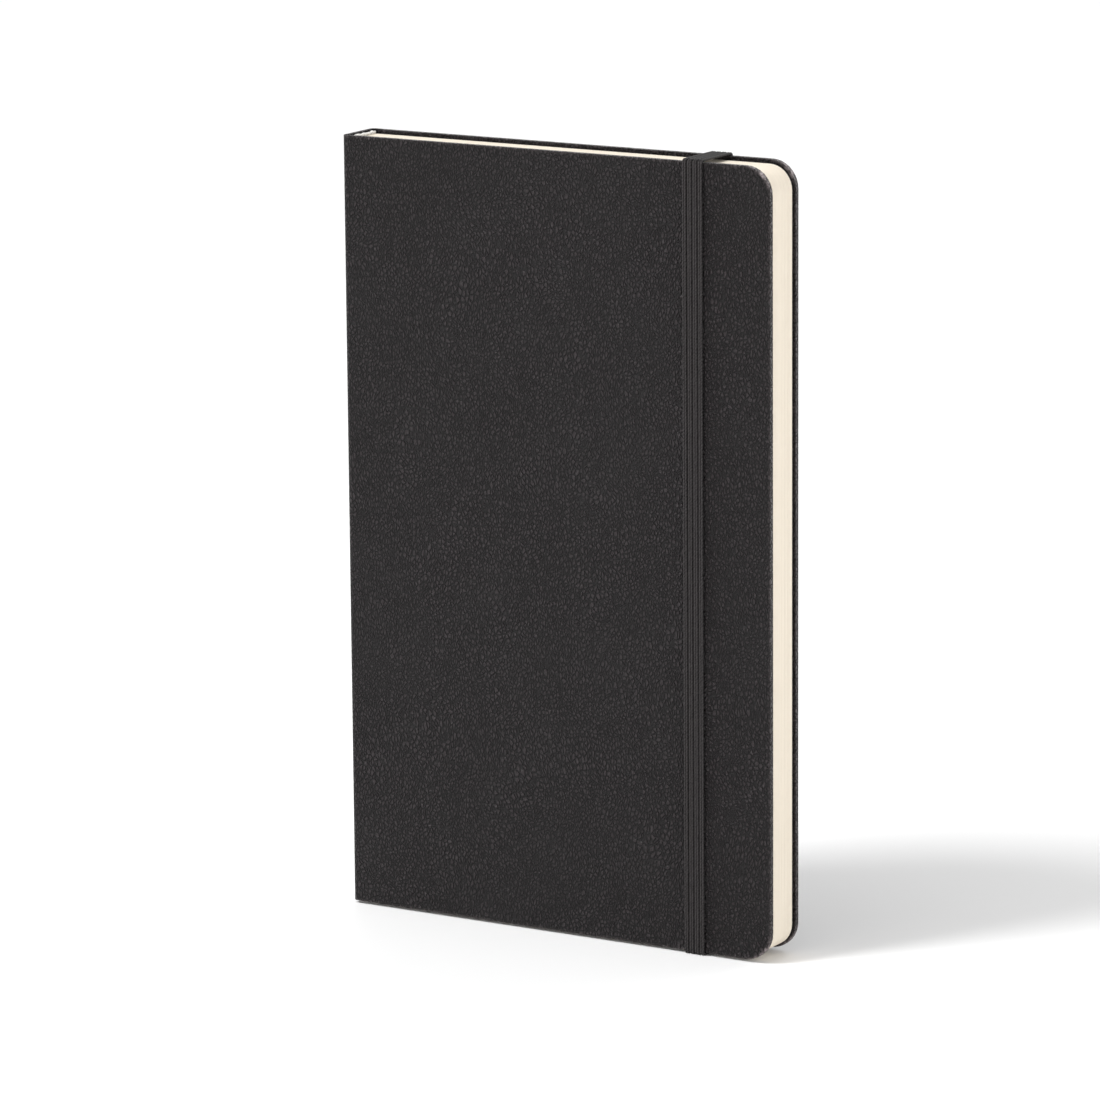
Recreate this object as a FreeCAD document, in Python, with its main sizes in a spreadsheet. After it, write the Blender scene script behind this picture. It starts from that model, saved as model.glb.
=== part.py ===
"""A hard-cover sketchbook with an elastic closure, standing upright.

+Z is the book's height, +X runs from the spine to the fore-edge and +Y from the
front cover to the back cover.  The origin is under the middle of the book, on the
surface that it stands on.  All lengths are in millimetres.
"""
import FreeCAD, Part
import math
import os
import Sketcher

# The least volume, in cubic millimetres, that a cut has to remove.
SMALLEST_CUT = 0.01

# Driving sizes.  Each is written once, and every piece takes its own from the sheet.
SIZES = {
    "cover_width": 130.0,           # spine's outer face to the covers' fore-edge
    "cover_height": 210.0,
    "corner_radius": 7.5,           # the covers' two fore-edge corners
    "skin_thickness": 0.2,          # leatherette, on both faces of the board at the turn-ins
    "board_thickness": 1.15,
    "board_setback": 5.0,           # spine's outer face to the boards' spine edge
    "turn_in_width": 12.0,          # leatherette folded over the inside of the board
    "pastedown_thickness": 0.15,
    "pastedown_margin": 3.0,        # leatherette left bare round the pastedown
    "head_square": 1.0,             # the covers stand this far past the pages, top and bottom
    "fore_square": 0.45,            # and this far at the fore-edge
    "page_corner_radius": 6.5,
    "leaf_pitch": 0.2,
    "leaf_gap": 0.01,
    "leaves_per_section": 4,        # two folded sheets
    "section_count": 13,
    "fold_setback": 2.0,            # spine's outer face to the sections' folds
    "fold_depth": 1.4,              # the pressed and glued fold of each section
    "gutter_width": 8.6,            # paper that bends between the fold and the turning leaf
    "block_gap": 0.05,              # air between the page block, the flyleaves and the covers
    "flyleaf_thickness": 0.15,
    "thread_diameter": 0.28,
    "thread_rows": 6,
    "thread_margin": 18.0,          # outermost rows of stitches to the ends of the fold
    "gauze_gap": 0.35,              # folds' backs to the gauze, which the thread lies in
    "gauze_thickness": 0.15,
    "gauze_margin": 3.0,
    "liner_thickness": 0.5,         # card that stiffens the spine
    "spine_clearance": 0.3,         # spine leatherette's long edges to an opened cover
    "liner_inset": 0.5,
    "headband_radius": 0.45,
    "headband_web": 0.4,
    "headband_apron": 10.0,
    "apron_thickness": 0.25,
    "pocket_panel_thickness": 0.3,
    "gusset_thickness": 0.6,        # folded flat between the panel and the pastedown
    "gusset_width": 8.0,
    "gusset_inset": 1.0,
    "pocket_fore_margin": 5.0,
    "pocket_spine_margin": 15.0,
    "pocket_end_margin": 8.0,
    "band_width": 6.3,
    "band_thickness": 0.7,
    "band_inset": 22.6,             # fore-edge to the middle of the band
    "band_gap": 0.1,                # the band's stand-off from the covers
    "band_tail": 15.0,              # covers' top or bottom edge to the band's slot
    "band_anchor": 10.0,            # glued end of the band, inside the back board
    "slot_clearance": 0.05,
}

doc = FreeCAD.newDocument("sketchbook")
sizes = doc.addObject("Spreadsheet::Sheet", "sizes")
for row, (alias, size) in enumerate(SIZES.items(), start=1):
    sizes.set("A%d" % row, alias.replace("_", " "))
    sizes.set("B%d" % row, str(size))
    sizes.setAlias("B%d" % row, alias)
doc.recompute()


# --- small helpers -------------------------------------------------------------------

def total(*terms):
    """Add lengths given as expressions; a leading minus sign stays with its term."""
    return "(" + " + ".join("(%s)" % term for term in terms) + ")"


def less(whole, *terms):
    """Take lengths, given as expressions, off a whole."""
    return "(" + " - ".join("(%s)" % term for term in (whole,) + terms) + ")"


def value(expression):
    """The length that an expression has now."""
    return float(sizes.evalExpression(expression))


def add_body(name):
    """A PartDesign body for one sub-part, which may hold several separate solids."""
    body = doc.addObject("PartDesign::Body", name)
    body.Label = name
    body.AllowCompound = True
    return body


def origin_feature(body, role):
    """One of the body's own origin planes or axes."""
    return next(item for item in body.Origin.OriginFeatures if item.Role == role)


def place_sketch(body, role, offsets):
    """A sketch on one of the body's origin planes, shifted by three expressions."""
    sketch = body.newObject("Sketcher::SketchObject", body.Name + "_sketch")
    sketch.AttachmentSupport = [(origin_feature(body, role), "")]
    sketch.MapMode = "FlatFace"
    for axis, offset in zip("xyz", offsets):
        sketch.setExpression("AttachmentOffset.Base." + axis, offset)
    return sketch


def bind(sketch, constraint, expression):
    """Add a dimension to a sketch and bind it to an expression."""
    index = sketch.addConstraint(constraint)
    sketch.setExpression("Constraints[%d]" % index, expression)


def draw_rectangle(sketch, width, height):
    """A rectangle whose lower left corner is the sketch's origin."""
    wide, high = value(width), value(height)
    corners = [(0, 0), (wide, 0), (wide, high), (0, high)]
    for start, end in zip(corners, corners[1:] + corners[:1]):
        line = Part.LineSegment(FreeCAD.Vector(*start, 0), FreeCAD.Vector(*end, 0))
        sketch.addGeometry(line)
    for side in range(4):
        after = (side + 1) % 4
        sketch.addConstraint(Sketcher.Constraint("Coincident", side, 2, after, 1))
        sketch.addConstraint(Sketcher.Constraint("Vertical" if side % 2 else "Horizontal", side))
    sketch.addConstraint(Sketcher.Constraint("Coincident", 0, 1, -1, 1))
    bind(sketch, Sketcher.Constraint("DistanceX", 0, 1, 0, 2, wide), width)
    bind(sketch, Sketcher.Constraint("DistanceY", 1, 1, 1, 2, high), height)


def draw_rounded(sketch, width, height, radius):
    """A rectangle from the sketch's origin, with its two right-hand corners rounded."""
    wide, high, bend = value(width), value(height), value(radius)
    vector = FreeCAD.Vector
    normal = vector(0, 0, 1)
    lower = Part.Circle(vector(wide - bend, bend, 0), normal, bend)
    upper = Part.Circle(vector(wide - bend, high - bend, 0), normal, bend)
    quarter = math.pi / 2
    bottom = sketch.addGeometry(Part.LineSegment(vector(0, 0, 0), vector(wide - bend, 0, 0)))
    lower_arc = sketch.addGeometry(Part.ArcOfCircle(lower, -quarter, 0))
    right = sketch.addGeometry(Part.LineSegment(vector(wide, bend, 0),
                                                vector(wide, high - bend, 0)))
    upper_arc = sketch.addGeometry(Part.ArcOfCircle(upper, 0, quarter))
    top = sketch.addGeometry(Part.LineSegment(vector(wide - bend, high, 0), vector(0, high, 0)))
    left = sketch.addGeometry(Part.LineSegment(vector(0, high, 0), vector(0, 0, 0)))
    loop = [bottom, lower_arc, right, upper_arc, top]
    for first, second in zip(loop, loop[1:]):
        sketch.addConstraint(Sketcher.Constraint("Tangent", first, 2, second, 1))
    sketch.addConstraint(Sketcher.Constraint("Coincident", top, 2, left, 1))
    sketch.addConstraint(Sketcher.Constraint("Coincident", left, 2, bottom, 1))
    sketch.addConstraint(Sketcher.Constraint("Coincident", bottom, 1, -1, 1))
    sketch.addConstraint(Sketcher.Constraint("Horizontal", bottom))
    sketch.addConstraint(Sketcher.Constraint("Vertical", left))
    sketch.addConstraint(Sketcher.Constraint("Horizontal", top))
    sketch.addConstraint(Sketcher.Constraint("Equal", lower_arc, upper_arc))
    bind(sketch, Sketcher.Constraint("Radius", lower_arc, bend), radius)
    bind(sketch, Sketcher.Constraint("DistanceX", -1, 1, right, 1, wide), width)
    bind(sketch, Sketcher.Constraint("DistanceY", left, 2, left, 1, high), height)


def block(body, along, low, high, radius=None, cut=False):
    """Pad or pocket one block between two corners, each three expressions.

    along is the direction of the extrusion.  A radius rounds the two corners that
    lie at the greater X, on a block that is extruded along Y.
    """
    width, depth, height = (less(top, bottom) for bottom, top in zip(low, high))
    if along == "X":
        sketch = place_sketch(body, "YZ_Plane", (low[1], low[2], low[0]))
        drawn, length = (depth, height), width
    elif along == "Y":
        sketch = place_sketch(body, "XZ_Plane", (low[0], low[2], "-(%s)" % high[1]))
        drawn, length = (width, height), depth
    else:
        sketch = place_sketch(body, "XY_Plane", low)
        drawn, length = (width, depth), height
    if radius is None:
        draw_rectangle(sketch, *drawn)
    else:
        draw_rounded(sketch, *drawn, radius)
    before = body.Shape.Volume if cut else 0
    feature = body.newObject("PartDesign::Pocket" if cut else "PartDesign::Pad",
                             body.Name + ("_pocket" if cut else "_pad"))
    feature.Profile = sketch
    feature.Reversed = cut
    feature.setExpression("Length", length)
    doc.recompute()
    if cut and body.Shape.Volume > before - SMALLEST_CUT:
        raise RuntimeError("%s: %s cuts nothing" % (body.Label, feature.Name))
    return feature


def repeat(body, feature, axis, pitch, count):
    """Repeat a feature along one of the body's own axes."""
    pattern = body.newObject("PartDesign::LinearPattern", body.Name + "_pattern")
    pattern.Originals = [feature]
    pattern.Direction = (origin_feature(body, axis), [""])
    pattern.setExpression("Occurrences", count)
    pattern.setExpression("Length", "(%s) * ((%s) - 1)" % (pitch, count))
    body.Tip = pattern
    doc.recompute()
    return pattern


def primitive(kind, name, lengths, place):
    """A Part primitive whose sizes and place are expressions."""
    piece = doc.addObject(kind, name)
    for length, expression in lengths.items():
        piece.setExpression(length, expression)
    for axis, expression in zip("xyz", place):
        piece.setExpression("Placement.Base." + axis, expression)
    return piece


# --- where things are ----------------------------------------------------------------

half_width = "sizes.cover_width / 2"
spine_face = "-sizes.cover_width / 2"
cover_bottom = "sizes.band_thickness + sizes.band_gap"
cover_top = total(cover_bottom, "sizes.cover_height")

section_thickness = "sizes.leaves_per_section * sizes.leaf_pitch"
sections_thickness = "sizes.section_count * (%s)" % section_thickness
pocket_thickness = "sizes.pocket_panel_thickness + sizes.gusset_thickness"
block_thickness = total("4 * sizes.block_gap", "2 * sizes.flyleaf_thickness",
                        sections_thickness, pocket_thickness)
cover_thickness = "2 * sizes.skin_thickness + sizes.board_thickness + sizes.pastedown_thickness"

inside_back = "(%s) / 2" % block_thickness
inside_front = "-(%s) / 2" % block_thickness
outside_back = total(inside_back, cover_thickness)
hinge_x = total(spine_face, "(%s) / 2" % cover_thickness)

front_flyleaf_y = total(inside_front, "sizes.block_gap")
first_section_y = total(front_flyleaf_y, "sizes.flyleaf_thickness", "sizes.block_gap")
back_flyleaf_y = total(first_section_y, sections_thickness, "sizes.block_gap")
pocket_y = total(back_flyleaf_y, "sizes.flyleaf_thickness", "sizes.block_gap")

fold_x = total(spine_face, "sizes.fold_setback")
gutter_x = total(fold_x, "sizes.fold_depth")
leaf_x = total(gutter_x, "sizes.gutter_width")
page_right = less(half_width, "sizes.fore_square")
page_bottom = total(cover_bottom, "sizes.head_square")
page_top = less(cover_top, "sizes.head_square")

band_left = total(half_width, "-sizes.band_inset", "-sizes.band_width / 2")
band_right = total(band_left, "sizes.band_width")
band_inner = total(outside_back, "sizes.band_gap")
band_outer = total(band_inner, "sizes.band_thickness")
band_top = total(cover_top, "sizes.band_gap", "sizes.band_thickness")
upper_slot = less(cover_top, "sizes.band_tail")
lower_slot = total(cover_bottom, "sizes.band_tail")
board_inner = less(outside_back, "sizes.skin_thickness", "sizes.board_thickness")
anchor_inner = total(board_inner, "sizes.slot_clearance")
anchor_outer = total(anchor_inner, "sizes.band_thickness")


def facing(side, near, far):
    """The Y range, low then high, between two distances from the middle of the book.

    side is 1 for the back cover and -1 for the front cover.
    """
    return (near, far) if side == 1 else ("-(%s)" % far, "-(%s)" % near)


# --- covers --------------------------------------------------------------------------

def make_board(name, side):
    """Greyboard, wrapped by the leatherette on three of its edges."""
    body = add_body(name)
    outer = less(outside_back, "sizes.skin_thickness")
    low_y, high_y = facing(side, board_inner, outer)
    block(body, "Y",
          (total(spine_face, "sizes.board_setback"), low_y,
           total(cover_bottom, "sizes.skin_thickness")),
          (less(half_width, "sizes.skin_thickness"), high_y,
           less(cover_top, "sizes.skin_thickness")),
          radius="sizes.corner_radius - sizes.skin_thickness")
    return body


def make_skin(name, side):
    """Leatherette of one cover: the outer sheet, its edges and its turned-in margin."""
    body = add_body(name)
    turned = less(board_inner, "sizes.skin_thickness")
    tray_low, tray_high = facing(side, board_inner, outside_back)
    board_low, board_high = facing(side, board_inner,
                                   less(outside_back, "sizes.skin_thickness"))
    margin_low, margin_high = facing(side, turned, board_inner)
    past_spine = total(hinge_x, "-sizes.board_setback")
    block(body, "Y", (hinge_x, tray_low, cover_bottom), (half_width, tray_high, cover_top),
          radius="sizes.corner_radius")
    block(body, "Y",
          (past_spine, board_low, total(cover_bottom, "sizes.skin_thickness")),
          (less(half_width, "sizes.skin_thickness"), board_high,
           less(cover_top, "sizes.skin_thickness")),
          radius="sizes.corner_radius - sizes.skin_thickness", cut=True)
    block(body, "Y", (hinge_x, margin_low, cover_bottom), (half_width, margin_high, cover_top),
          radius="sizes.corner_radius")
    block(body, "Y",
          (past_spine, margin_low, total(cover_bottom, "sizes.turn_in_width")),
          (less(half_width, "sizes.turn_in_width"), margin_high,
           less(cover_top, "sizes.turn_in_width")), cut=True)
    return body


def make_pastedown(name, side):
    """Endpaper glued to the board, stepped down inside the turned-in margin."""
    body = add_body(name)
    raised = total(inside_back, "sizes.pastedown_thickness")
    sheet_low, sheet_high = facing(side, inside_back, raised)
    step_low, step_high = facing(side, raised, board_inner)
    block(body, "Y",
          (fold_x, sheet_low, total(cover_bottom, "sizes.pastedown_margin")),
          (less(half_width, "sizes.pastedown_margin"), sheet_high,
           less(cover_top, "sizes.pastedown_margin")),
          radius="sizes.corner_radius - sizes.pastedown_margin")
    block(body, "Y",
          (total(spine_face, "sizes.board_setback"), step_low,
           total(cover_bottom, "sizes.turn_in_width")),
          (less(half_width, "sizes.turn_in_width"), step_high,
           less(cover_top, "sizes.turn_in_width")))
    return body


def cut_band_slot(body, inner, outer, upper):
    """A slot for the elastic band through a layer of the back cover."""
    grown = "sizes.slot_clearance"
    if upper:
        low_z = less(upper_slot, grown)
        high_z = total(upper_slot, "sizes.band_thickness", grown)
    else:
        low_z = less(lower_slot, "sizes.band_thickness", grown)
        high_z = total(lower_slot, grown)
    block(body, "Y", (less(band_left, grown), inner, low_z),
          (total(band_right, grown), outer, high_z), cut=True)


def cut_band_recess(body, upper):
    """The shallow bed on the inside of the back board that holds a glued band end."""
    grown = "sizes.slot_clearance"
    if upper:
        low_z = less(upper_slot, "sizes.band_anchor", grown)
        high_z = total(upper_slot, "sizes.band_thickness", grown)
    else:
        low_z = less(lower_slot, "sizes.band_thickness", grown)
        high_z = total(lower_slot, "sizes.band_anchor", grown)
    block(body, "Y", (less(band_left, grown), board_inner, low_z),
          (total(band_right, grown), total(anchor_outer, grown), high_z), cut=True)


for name, side in (("front", -1), ("back", 1)):
    board = make_board(name + "_board", side)
    skin = make_skin(name + "_cover_skin", side)
    make_pastedown(name + "_pastedown", side)
    if side == 1:
        skin_inner = less(outside_back, "sizes.skin_thickness")
        for upper in (True, False):
            cut_band_slot(skin, skin_inner, outside_back, upper)
            cut_band_recess(board, upper)
            cut_band_slot(board, anchor_outer, skin_inner, upper)


# --- spine ---------------------------------------------------------------------------

def make_spine_skin():
    """Leatherette of the spine, folded over the card at the head and the tail."""
    body = add_body("spine_skin")
    high_y = less(inside_back, "sizes.spine_clearance")
    low_y = "-(%s)" % high_y
    card_left = total(spine_face, "sizes.skin_thickness")
    card_right = total(card_left, "sizes.liner_thickness")
    fold_right = total(card_right, "sizes.skin_thickness")
    block(body, "Y", (spine_face, low_y, cover_bottom), (fold_right, high_y, cover_top))
    block(body, "Y", (card_left, low_y, total(cover_bottom, "sizes.skin_thickness")),
          (card_right, high_y, less(cover_top, "sizes.skin_thickness")), cut=True)
    block(body, "Y", (card_right, low_y, total(cover_bottom, "sizes.turn_in_width")),
          (fold_right, high_y, less(cover_top, "sizes.turn_in_width")), cut=True)


def make_box(name, low, high):
    """A plain Part box between two corners."""
    width, depth, height = (less(top, bottom) for bottom, top in zip(low, high))
    box = primitive("Part::Box", name, {"Length": width, "Width": depth, "Height": height}, low)
    box.Label = name
    return box


def make_headband(name, end):
    """Cloth band at one end of the folds: a bead, a web and a glued apron.

    end is 1 at the head and -1 at the tail.
    """
    bead_x = total(fold_x, "sizes.fold_depth / 2")
    apron_right = less(fold_x, "sizes.gauze_gap", "sizes.gauze_thickness")
    apron_left = less(apron_right, "sizes.apron_thickness")
    edge = page_top if end == 1 else page_bottom
    sign = "" if end == 1 else "-"
    bead_z = total(edge, sign + "sizes.headband_radius")
    web_low = less(bead_z, "sizes.headband_web / 2")
    web_high = total(bead_z, "sizes.headband_web / 2")
    depth = sections_thickness
    bead = primitive("Part::Cylinder", name + "_bead",
                     {"Radius": "sizes.headband_radius", "Height": depth},
                     (bead_x, total(first_section_y, depth), bead_z))
    bead.Placement.Rotation = FreeCAD.Rotation(FreeCAD.Vector(1, 0, 0), 90)
    last_y = total(first_section_y, depth)
    web = make_box(name + "_web", (apron_left, first_section_y, web_low),
                   (bead_x, last_y, web_high))
    if end == 1:
        apron_low, apron_high = less(web_high, "sizes.headband_apron"), web_high
    else:
        apron_low, apron_high = web_low, total(web_low, "sizes.headband_apron")
    apron = make_box(name + "_apron", (apron_left, first_section_y, apron_low),
                     (apron_right, last_y, apron_high))
    band = doc.addObject("Part::MultiFuse", name)
    band.Shapes = [bead, web, apron]
    band.Label = name
    return band


make_spine_skin()

liner_left = total(spine_face, "sizes.skin_thickness")
liner_y = less(inside_back, "sizes.spine_clearance", "sizes.liner_inset")
make_box("spine_liner",
         (liner_left, "-(%s)" % liner_y, total(cover_bottom, "sizes.skin_thickness")),
         (total(liner_left, "sizes.liner_thickness"), liner_y,
          less(cover_top, "sizes.skin_thickness")))

last_section_y = total(first_section_y, sections_thickness)
gauze_right = less(fold_x, "sizes.gauze_gap")
make_box("spine_gauze",
         (less(gauze_right, "sizes.gauze_thickness"), first_section_y,
          total(page_bottom, "sizes.gauze_margin")),
         (gauze_right, last_section_y, less(page_top, "sizes.gauze_margin")))

make_headband("headband", 1)
make_headband("tailband", -1)


# --- page block ----------------------------------------------------------------------

def make_folds():
    """The folded backs of the sections, pressed together and glued."""
    body = add_body("section_folds")
    low_y = total(first_section_y, "sizes.leaf_gap / 2")
    fold = block(body, "Z", (fold_x, low_y, page_bottom),
                 (gutter_x, total(low_y, section_thickness, "-sizes.leaf_gap"), page_top))
    repeat(body, fold, "Y_Axis", section_thickness, "sizes.section_count")


def make_gutters():
    """The strips of paper that bend when a section is turned."""
    body = add_body("section_gutters")
    low_y = total(first_section_y, "sizes.leaf_gap / 2")
    strip = block(body, "Z", (gutter_x, low_y, page_bottom),
                  (leaf_x, total(low_y, "sizes.leaf_pitch", "-sizes.leaf_gap"), page_top))
    repeat(body, strip, "Y_Axis", "sizes.leaf_pitch",
           "sizes.section_count * sizes.leaves_per_section")


def make_section(number):
    """The turning leaves of one section."""
    body = add_body("section_%02d" % number)
    start = total(first_section_y, "%d * (%s)" % (number - 1, section_thickness),
                  "sizes.leaf_gap / 2")
    leaf = block(body, "Y", (leaf_x, start, page_bottom),
                 (page_right, total(start, "sizes.leaf_pitch", "-sizes.leaf_gap"), page_top),
                 radius="sizes.page_corner_radius")
    repeat(body, leaf, "Y_Axis", "sizes.leaf_pitch", "sizes.leaves_per_section")


def make_flyleaf(name, low_y):
    """One free endpaper leaf and the strip that bends beside its fold."""
    high_y = total(low_y, "sizes.flyleaf_thickness")
    body = add_body(name + "_flyleaf")
    block(body, "Y", (leaf_x, low_y, page_bottom), (page_right, high_y, page_top),
          radius="sizes.page_corner_radius")
    make_box(name + "_endpaper_fold", (fold_x, low_y, page_bottom), (leaf_x, high_y, page_top))


def make_thread():
    """Rows of linked stitches across the backs of the folds."""
    body = add_body("sewing_thread")
    radius = "sizes.thread_diameter / 2"
    first_z = total(page_bottom, "sizes.thread_margin")
    row_span = less(page_top, "sizes.thread_margin", first_z)
    sketch = place_sketch(body, "XZ_Plane",
                          (less(fold_x, "sizes.gauze_gap / 2"), first_z,
                           "-(%s)" % last_section_y))
    circle = Part.Circle(FreeCAD.Vector(0, 0, 0), FreeCAD.Vector(0, 0, 1), value(radius))
    sketch.addGeometry(circle)
    sketch.addConstraint(Sketcher.Constraint("Coincident", 0, 3, -1, 1))
    bind(sketch, Sketcher.Constraint("Radius", 0, value(radius)), radius)
    row = body.newObject("PartDesign::Pad", "thread_row")
    row.Profile = sketch
    row.setExpression("Length", sections_thickness)
    doc.recompute()
    pitch = "(%s) / (sizes.thread_rows - 1)" % row_span
    repeat(body, row, "Z_Axis", pitch, "sizes.thread_rows")


make_folds()
make_gutters()
section_names = []
for number in range(1, round(value("sizes.section_count")) + 1):
    make_section(number)
    section_names.append("section_%02d" % number)
make_flyleaf("front", front_flyleaf_y)
make_flyleaf("back", back_flyleaf_y)
make_thread()


# --- pocket inside the back cover ----------------------------------------------------

def make_pocket():
    """A stiff paper panel with a folded cloth gusset at its top and its bottom."""
    left = total(spine_face, "sizes.pocket_spine_margin")
    right = less(half_width, "sizes.pocket_fore_margin")
    bottom = total(cover_bottom, "sizes.pocket_end_margin")
    top = less(cover_top, "sizes.pocket_end_margin")
    panel_back = total(pocket_y, "sizes.pocket_panel_thickness")
    panel = add_body("pocket_panel")
    block(panel, "Y", (left, pocket_y, bottom), (right, panel_back, top))
    gussets = add_body("pocket_gussets")
    inset_left = total(left, "sizes.gusset_inset")
    inset_right = less(right, "sizes.gusset_inset")
    block(gussets, "Y", (inset_left, panel_back, total(bottom, "sizes.gusset_inset")),
          (inset_right, inside_back, total(bottom, "sizes.gusset_inset", "sizes.gusset_width")))
    block(gussets, "Y",
          (inset_left, panel_back, less(top, "sizes.gusset_inset", "sizes.gusset_width")),
          (inset_right, inside_back, less(top, "sizes.gusset_inset")))


make_pocket()


# --- elastic band --------------------------------------------------------------------

def make_elastic():
    """The closure band: round the front, over both ends and into the back board."""
    body = add_body("elastic_band")
    front = "-(%s)" % band_outer
    block(body, "X", (band_left, front, "0"), (band_right, band_outer, band_top))
    block(body, "X", (band_left, "-(%s)" % band_inner, "sizes.band_thickness"),
          (band_right, band_inner, less(band_top, "sizes.band_thickness")), cut=True)
    block(body, "X", (band_left, band_inner, lower_slot), (band_right, band_outer, upper_slot),
          cut=True)
    upper_stem = total(upper_slot, "sizes.band_thickness")
    lower_stem = less(lower_slot, "sizes.band_thickness")
    block(body, "X", (band_left, anchor_inner, upper_slot),
          (band_right, band_inner, upper_stem))
    block(body, "X", (band_left, anchor_inner, lower_stem),
          (band_right, band_inner, lower_slot))
    block(body, "X", (band_left, anchor_inner, less(upper_slot, "sizes.band_anchor")),
          (band_right, anchor_outer, upper_slot))
    block(body, "X", (band_left, anchor_inner, lower_slot),
          (band_right, anchor_outer, total(lower_slot, "sizes.band_anchor")))


make_elastic()


# --- check and export ----------------------------------------------------------------

NODES = [
    "front_board", "front_cover_skin", "front_pastedown",
    "back_board", "back_cover_skin", "back_pastedown",
    "pocket_panel", "pocket_gussets",
    "spine_skin", "spine_liner", "spine_gauze", "headband", "tailband",
    "section_folds", "section_gutters", "sewing_thread",
    "front_endpaper_fold", "back_endpaper_fold", "front_flyleaf", "back_flyleaf",
    "elastic_band",
] + section_names

doc.recompute()
for item in doc.Objects:
    if "Invalid" in item.State or "Error" in item.State:
        raise RuntimeError("%s failed: %s" % (item.Label, item.State))

os.makedirs("parts", exist_ok=True)
for node in NODES:
    shape = doc.getObjectsByLabel(node)[0].Shape
    if shape.isNull() or not shape.isValid() or not shape.Solids:
        raise RuntimeError("%s has no valid solid" % node)
    shape.exportStep("parts/%s.step" % node)
    print("%-22s %3d solids %10.1f mm3" % (node, len(shape.Solids), shape.Volume))
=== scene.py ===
"""Looks of a hard-cover sketchbook with an elastic closure, built round its CAD frame.

The book stands upright: +Z is its height, +X runs from the spine to the fore-edge and
+Y from the front cover to the back cover.  All lengths in the code are in metres.
"""
import math
import random

import bmesh
import bpy
from mathutils import Matrix, Vector


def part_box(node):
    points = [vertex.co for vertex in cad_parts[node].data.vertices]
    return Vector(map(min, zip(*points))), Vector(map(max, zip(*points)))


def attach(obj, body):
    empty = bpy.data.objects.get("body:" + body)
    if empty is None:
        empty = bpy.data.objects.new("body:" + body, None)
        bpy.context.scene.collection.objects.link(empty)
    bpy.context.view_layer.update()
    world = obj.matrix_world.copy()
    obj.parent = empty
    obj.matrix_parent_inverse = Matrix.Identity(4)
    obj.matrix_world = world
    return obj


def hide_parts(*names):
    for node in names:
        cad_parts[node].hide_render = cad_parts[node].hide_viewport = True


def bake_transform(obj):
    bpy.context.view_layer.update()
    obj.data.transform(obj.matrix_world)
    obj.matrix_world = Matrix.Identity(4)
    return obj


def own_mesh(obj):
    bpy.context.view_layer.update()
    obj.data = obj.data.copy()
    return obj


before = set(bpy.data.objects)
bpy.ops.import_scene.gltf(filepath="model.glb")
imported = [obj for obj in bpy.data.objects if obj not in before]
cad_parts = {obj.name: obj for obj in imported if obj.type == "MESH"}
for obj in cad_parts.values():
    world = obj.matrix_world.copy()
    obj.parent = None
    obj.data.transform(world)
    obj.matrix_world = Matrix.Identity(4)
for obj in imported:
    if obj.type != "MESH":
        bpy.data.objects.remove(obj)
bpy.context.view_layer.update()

bl_info = {
    "name": "Sketchbook",
    "version": (1, 0, 0),
    "blender": (4, 5, 0),
    "location": "View3D > Sidebar > Sketchbook",
    "description": "Builds a hard-cover sketchbook with an elastic closure",
    "category": "Add Mesh",
}

MM = 0.001
FRONT = -1
BACK = 1
HEAD = 1
FOOT = -1
QUARTER_TURN = math.pi / 2


# --- places taken from the frame -----------------------------------------------------

SPINE_LOW, SPINE_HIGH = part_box("spine_skin")
COVER_LOW, COVER_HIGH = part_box("front_cover_skin")
PASTE_LOW, PASTE_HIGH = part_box("front_pastedown")
FRONT_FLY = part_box("front_flyleaf")
BACK_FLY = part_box("back_flyleaf")
FOLDS_LOW, FOLDS_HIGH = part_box("section_folds")
GUSSET_LOW, GUSSET_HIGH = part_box("pocket_gussets")
BAND_LOW, BAND_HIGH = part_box("elastic_band")

SPINE_X = SPINE_LOW.x
BOARD_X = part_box("front_board")[0].x
FORE_X = COVER_HIGH.x
FOLD_X = FOLDS_LOW.x
LEAF_X = FRONT_FLY[0].x
OUTER_Y = -COVER_LOW.y
TURNED_Y = -COVER_HIGH.y
INSIDE_Y = -PASTE_HIGH.y
BOTTOM_Z = COVER_LOW.z
TOP_Z = COVER_HIGH.z
MIDDLE_Z = (BOTTOM_Z + TOP_Z) / 2
HALF_Z = (TOP_Z - BOTTOM_Z) / 2
BAND_GAP = 0.1 * MM
BAND_THICKNESS = -BAND_LOW.y - OUTER_Y - BAND_GAP
SECTIONS = [name for name in sorted(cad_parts)
            if name.startswith("section_") and name[-2:].isdigit()]


# --- sizes and colours that a user would change --------------------------------------

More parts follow.
